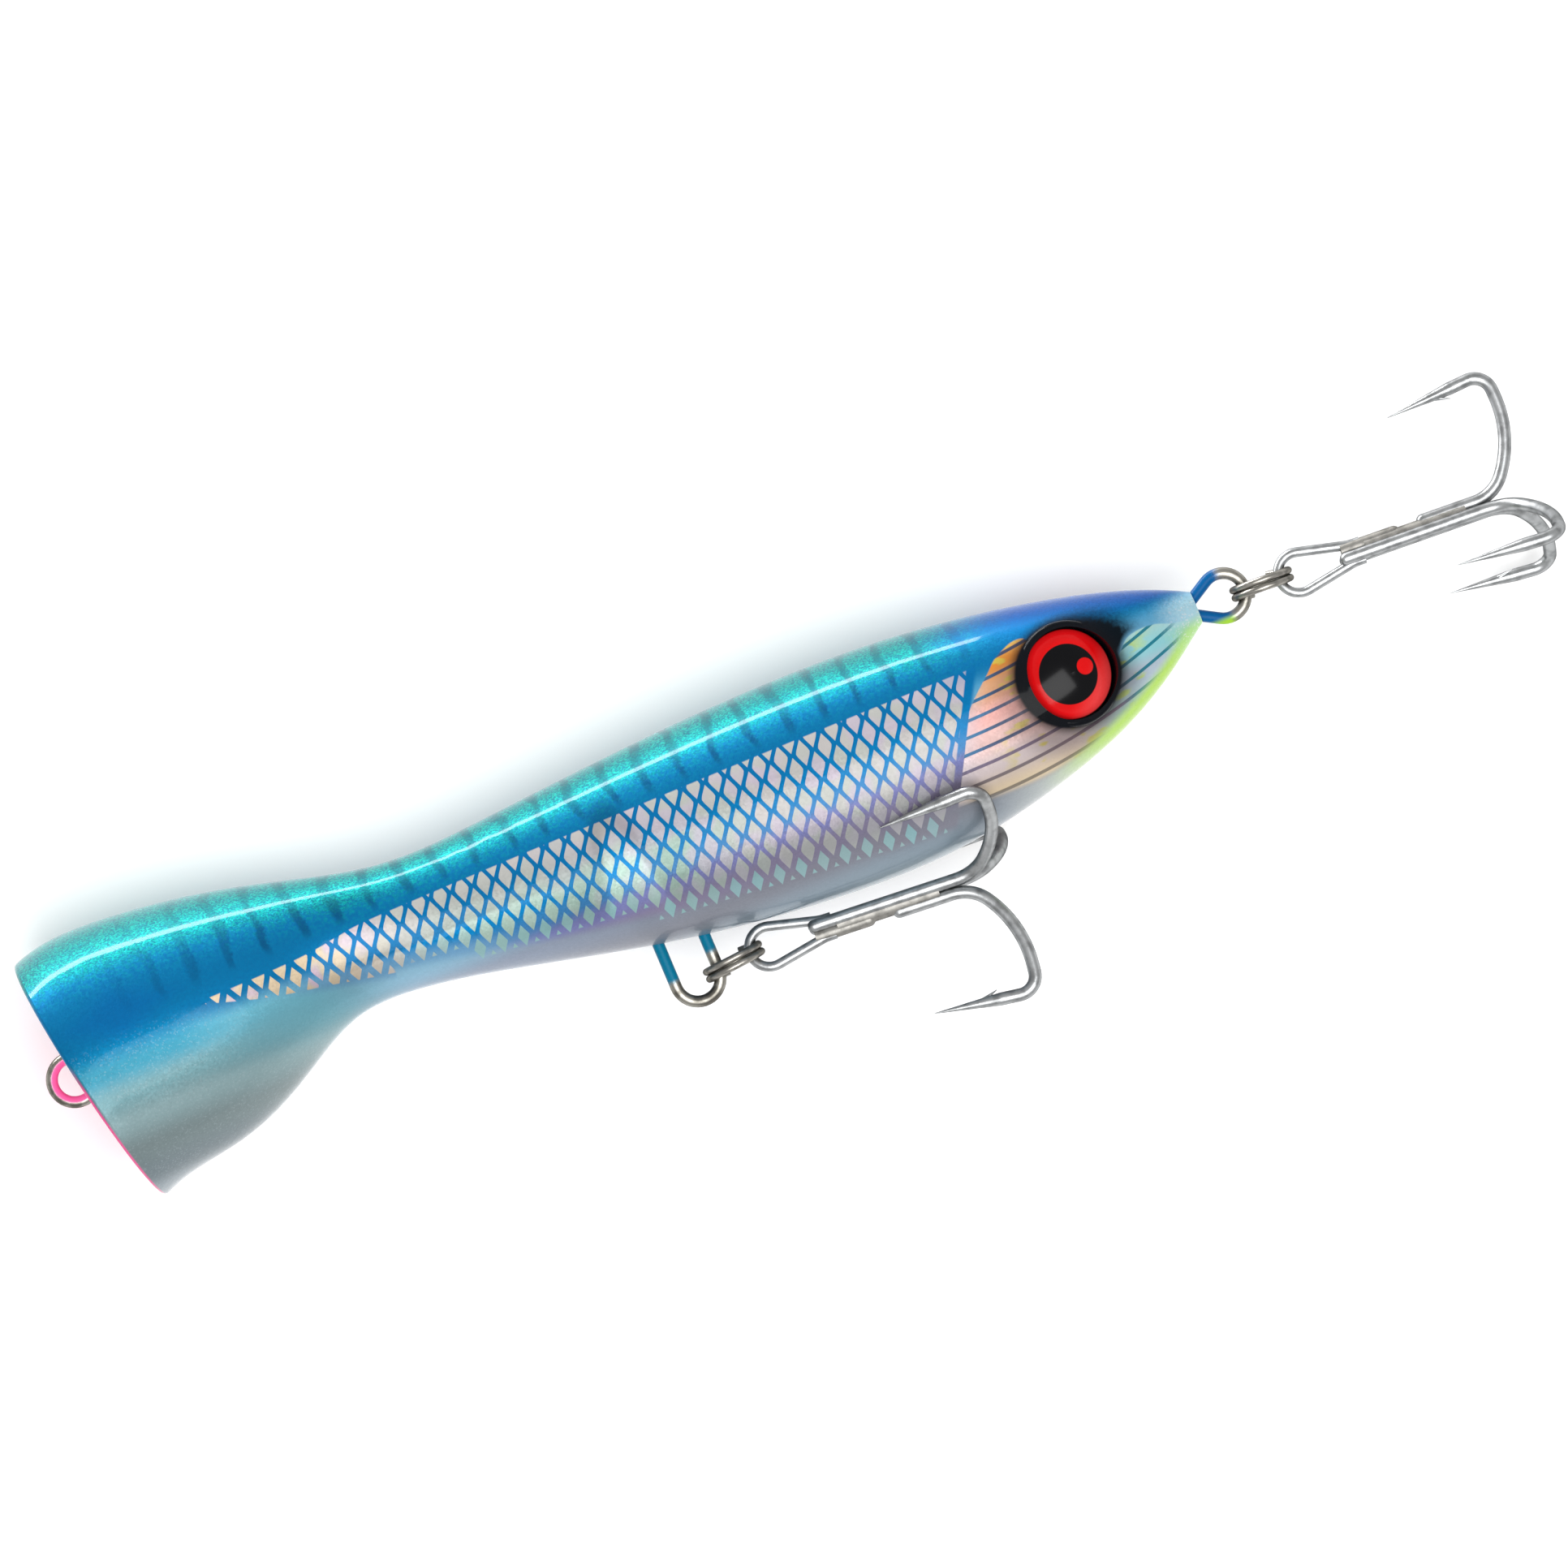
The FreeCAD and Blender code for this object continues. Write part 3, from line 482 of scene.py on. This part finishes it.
def flank_shade(g, head, mouth):
    """A factor, darker low on the flank: it stands in for light that this scene has not got."""
    x, y = g.x, g.y
    level = (y - (g.back + g.belly) / 2) / ((g.back - g.belly) / 2)
    around = y / 12 + (level - y / 12) * g.step(x, 35, 60)
    flank = g.curve(around, [(-1.6, 1), (-0.75, 1), (-0.55, 0.82), (-0.38, 0.72), (-0.2, 0.68),
                             (0, 0.75), (0.2, 0.9), (0.35, 1), (1.6, 1)])
    # the low cheek, the waist, the mouth and the tail end stay light
    jaw = head * g.step(y, -4, -7) * 0.95
    waist = g.curve(x, [(36, 0), (46, 0.94), (62, 0.94), (76, 0)]) * g.step(y, 0.5, -1.5)
    lit = mouth.max(jaw).max(waist).max(g.step(x, 145, 152))
    return flank.max(lit)


def paint_body():
    """Layers of paint and foil, each over the one before, under one clear coat."""
    g = BodyGraph("painted_shell")
    gill = g.x - 129.4 - (g.y - 2.6) * 0.56
    coat, above = paint_back(g)
    coat, bars = paint_bars(g, coat, above)
    coat, fade = paint_flare(g, coat)
    coat, cell = paint_scales(g, coat, gill, bars)
    coat, head, lash, socket = paint_head(g, coat, gill, fade)
    coat, mouth = paint_mouth(g, coat)
    painted = (1 - mouth.max(socket)) * (1 - lash * 0.8)
    speckled = painted * (1 - cell * 0.5) * (1 - head * 0.5) * (0.25 + above * 0.75)
    coat = g.mix(coat, 1 + (g.cells(4.2) - 0.5) * speckled * 0.26, 1.0, "MULTIPLY")
    coat = g.mix(coat, flank_shade(g, head, mouth), 1.0, "MULTIPLY")
    return g.finish(Base_Color=coat, Metallic=painted * 0.5, Roughness=0.36 + g.grit * 0.14,
                    Coat_Weight=0.88, Coat_Roughness=0.06, Coat_IOR=1.17,
                    Specular_IOR_Level=0.04, Normal=g.glitter(4.2, 0.08))


# ------------------------------------------------------------------ metal, eyes, paint on wire
def steel(name, tone, rough, streak=(1, 1, 1)):
    """Tinned steel: clouded, finely marked, darker where it turns away."""
    g = Graph(name)
    cloud, marks = g.noise(0.7, 3.0), g.noise(5.0, 2.0, streak)
    colour = g.mix([part * 0.62 for part in tone], tone, g.step(cloud, 0.3, 0.62))
    colour = g.mix(colour, [part * 0.45 for part in tone], g.step(marks, 0.62, 0.8) * 0.6)
    return g.finish(Base_Color=colour, Metallic=1.0, Roughness=rough + marks * 0.16,
                    Specular_Tint=(0.25, 0.25, 0.25, 1.0),
                    Normal=g.bump(marks + cloud * 0.5, 0.2, 0.00005))


def paint_wire():
    """The through-wire: steel, with paint sprayed over it where it leaves the painted body."""
    g = Graph("through_wire_steel")
    x, y = g.x, g.y
    cloud, grain = g.noise(0.5, 3.0), g.noise(5.0, 2.0)
    steel_tone = g.mix(rgb(104, 101, 94, 1.0), rgb(154, 151, 143, 1.0), g.step(cloud, 0.35, 0.6))
    ragged = (grain - 0.5) * 1.6
    legs = g.step(x, 60, 61) * g.step(x, 110, 109)
    rear = g.step(x, HANGER.x - 0.5, HANGER.x + 0.5)
    stop = HANGER.y + 0.7 + rear * 1.9
    painted = legs * g.step(y + ragged * 0.4, stop - 0.4, stop + 0.5)
    tail = g.step(x + ragged * 0.5, TAIL_LOOP.x + 0.9, TAIL_LOOP.x - 0.5)
    painted = painted.max(tail * g.step(x, 150, 151))
    colour = g.mix(rgb(0, 86, 150), rgb(0, 106, 172), grain)
    colour = g.mix(colour, g.mix(rgb(0, 104, 150), rgb(0, 140, 168), grain), legs)
    lime = g.step(y, -2.4, -3.4) * g.step(x, 150, 151)
    colour = g.mix(colour, rgb(170, 220, 60), lime)
    ring = (x ** 2 + y ** 2) ** 0.5
    pink = g.step(x, 30, 29) * g.step(ring + ragged * 0.12, 3.15, 2.85).max(g.step(x, 2.2, 3.4))
    coat = g.mix(steel_tone, colour, painted)
    coat = g.mix(coat, rgb(255, 116, 184, 0.9), pink)
    covered = painted.max(pink)
    return g.finish(Base_Color=coat, Metallic=1 - covered, Roughness=0.26 + grain * 0.12,
                    Specular_Tint=(0.3, 0.3, 0.3, 1.0), Specular_IOR_Level=0.3,
                    Normal=g.bump(grain, 0.15, 0.00005))


def paint_eye(name, gloss):
    """Red iris, black pupil with a round notch: the print, on the disc and on the dome, with a painted
    highlight on the iris.
    """
    g = Graph(name)
    fine = g.noise(3.0, 2.0)
    squash, iris_radius, pupil_radius, notch_radius = 0.956, 5.95, 4.05, 1.125
    dx, dy = (g.x - EYE.x) / squash, g.y - EYE.y
    radius = (dx ** 2 + dy ** 2) ** 0.5
    pupil = g.step(radius, pupil_radius + 0.07, pupil_radius - 0.07)
    notch = ((dx - 2.55) ** 2 + (dy - 0.15) ** 2) ** 0.5
    pupil = pupil * g.step(notch, notch_radius - 0.075, notch_radius + 0.075)
    iris = g.mix(rgb(236, 4, 8), rgb(255, 24, 30), g.step(radius, 4.2, 5.6))
    # painted highlight: the iris lighter and pinker towards the lower right, as light on the dome
    iris = g.mix(iris, rgb(255, 96, 96), g.step(dx - dy, 2.5, 7.5) * 0.5)
    iris = g.mix(iris, rgb(196, 0, 4), fine * 0.25)
    colour = g.mix(iris, rgb(0, 0, 3), pupil)
    rim = g.step(radius, iris_radius - 0.1, iris_radius + 0.1)
    colour = g.mix(colour, rgb(2, 3, 5), rim)
    return g.finish(Base_Color=colour, Roughness=0.4 + fine * 0.1, Specular_IOR_Level=0.02,
                    Coat_Weight=gloss, Coat_Roughness=0.16, Coat_IOR=1.25)


MATERIALS = {
    "painted_shell": (paint_body, ("shell_left", "shell_right")),
    "wire": (paint_wire, ("through_wire",)),
    "eye": (lambda: paint_eye("printed_eye", 0.0), ("eye_disc_left", "eye_disc_right")),
    "dome": (lambda: paint_eye("eye_dome", 1.0), ("eye_dome_left", "eye_dome_right")),
    "ring": (lambda: steel("ring_steel", rgb(160, 157, 150, 1.0), 0.24),
             ("belly_split_ring", "tail_split_ring")),
    "hook": (lambda: steel("hook_steel", rgb(172, 174, 175, 1.0), 0.26),
             ("belly_treble_double", "belly_treble_single", "tail_treble_double",
              "tail_treble_single")),
    "braze": (lambda: steel("braze_metal", rgb(150, 148, 143, 1.0), 0.42),
              ("belly_treble_braze", "tail_treble_braze")),
    "ballast": (lambda: steel("ballast_steel", rgb(150, 150, 150), 0.35),
                ("belly_weight", "tail_weight_fore", "tail_weight_aft", "rattle_ball_front",
                 "rattle_ball_rear")),
}


def dress_nodes():
    for make, names in MATERIALS.values():
        material = make()
        for name in names:
            NODES[name].material_slots[0].material = material


# ------------------------------------------------------------------ floor, light, camera
def make_floor():
    size, level = 6.0, cad_box[0].z
    mesh = bpy.data.meshes.new("floor")
    corners = [(-size, -size), (size, -size), (size, size), (-size, size)]
    mesh.from_pydata([(cx, cy, level) for cx, cy in corners], [], [(0, 1, 2, 3)])
    floor = bpy.data.objects.new("floor", mesh)
    bpy.context.scene.collection.objects.link(floor)
    g = Graph("pale_floor")
    tone = g.mix((0.93, 0.93, 0.93), (0.95, 0.95, 0.95), g.noise(0.02, 2.0))
    floor.data.materials.append(g.finish(Base_Color=tone, Roughness=0.9))


def area_light(name, place, aim, size, power):
    light = bpy.data.lights.new(name, "AREA")
    light.shape, light.size, light.size_y, light.energy = "RECTANGLE", size[0], size[1], power
    thing = bpy.data.objects.new(name, light)
    thing.location = place
    thing.rotation_euler = (Vector(aim) - Vector(place)).to_track_quat("-Z", "Y").to_euler()
    thing.visible_camera = False
    bpy.context.scene.collection.objects.link(thing)


def make_light():
    area_light("softbox_over", (0.16, -0.25, 1.1), (0.10, 0.0, 0.0), (1.1, 0.8), 14.0)
    area_light("strip_back", (0.032, 0.21, -0.008), (0.032, 0.0, 0.006), (0.305, 0.022), 0.88)
    world = bpy.data.worlds.new("studio")
    world.use_nodes = True
    world.node_tree.nodes["Background"].inputs["Color"].default_value = (1.0, 1.0, 1.0, 1.0)
    world.node_tree.nodes["Background"].inputs["Strength"].default_value = 0.65
    bpy.context.scene.world = world
    bpy.context.scene.view_settings.view_transform = "Standard"


def make_camera():
    """Straight above the lure, turned so that its tail loop points up and to the right."""
    aim, view_width, roll = Vector((0.1018, -0.0004, 0.0)), 0.2077, math.radians(-22.84)
    lens, sensor = 200.0, 36.0
    data = bpy.data.cameras.new("camera")
    data.lens, data.sensor_width = lens, sensor
    camera = bpy.data.objects.new("camera", data)
    camera.location = aim + Vector((0, 0, view_width * lens / sensor))
    camera.rotation_euler = (0, 0, roll)
    bpy.context.scene.collection.objects.link(camera)
    bpy.context.scene.camera = camera


dress_nodes()
make_floor()
make_light()
make_camera()
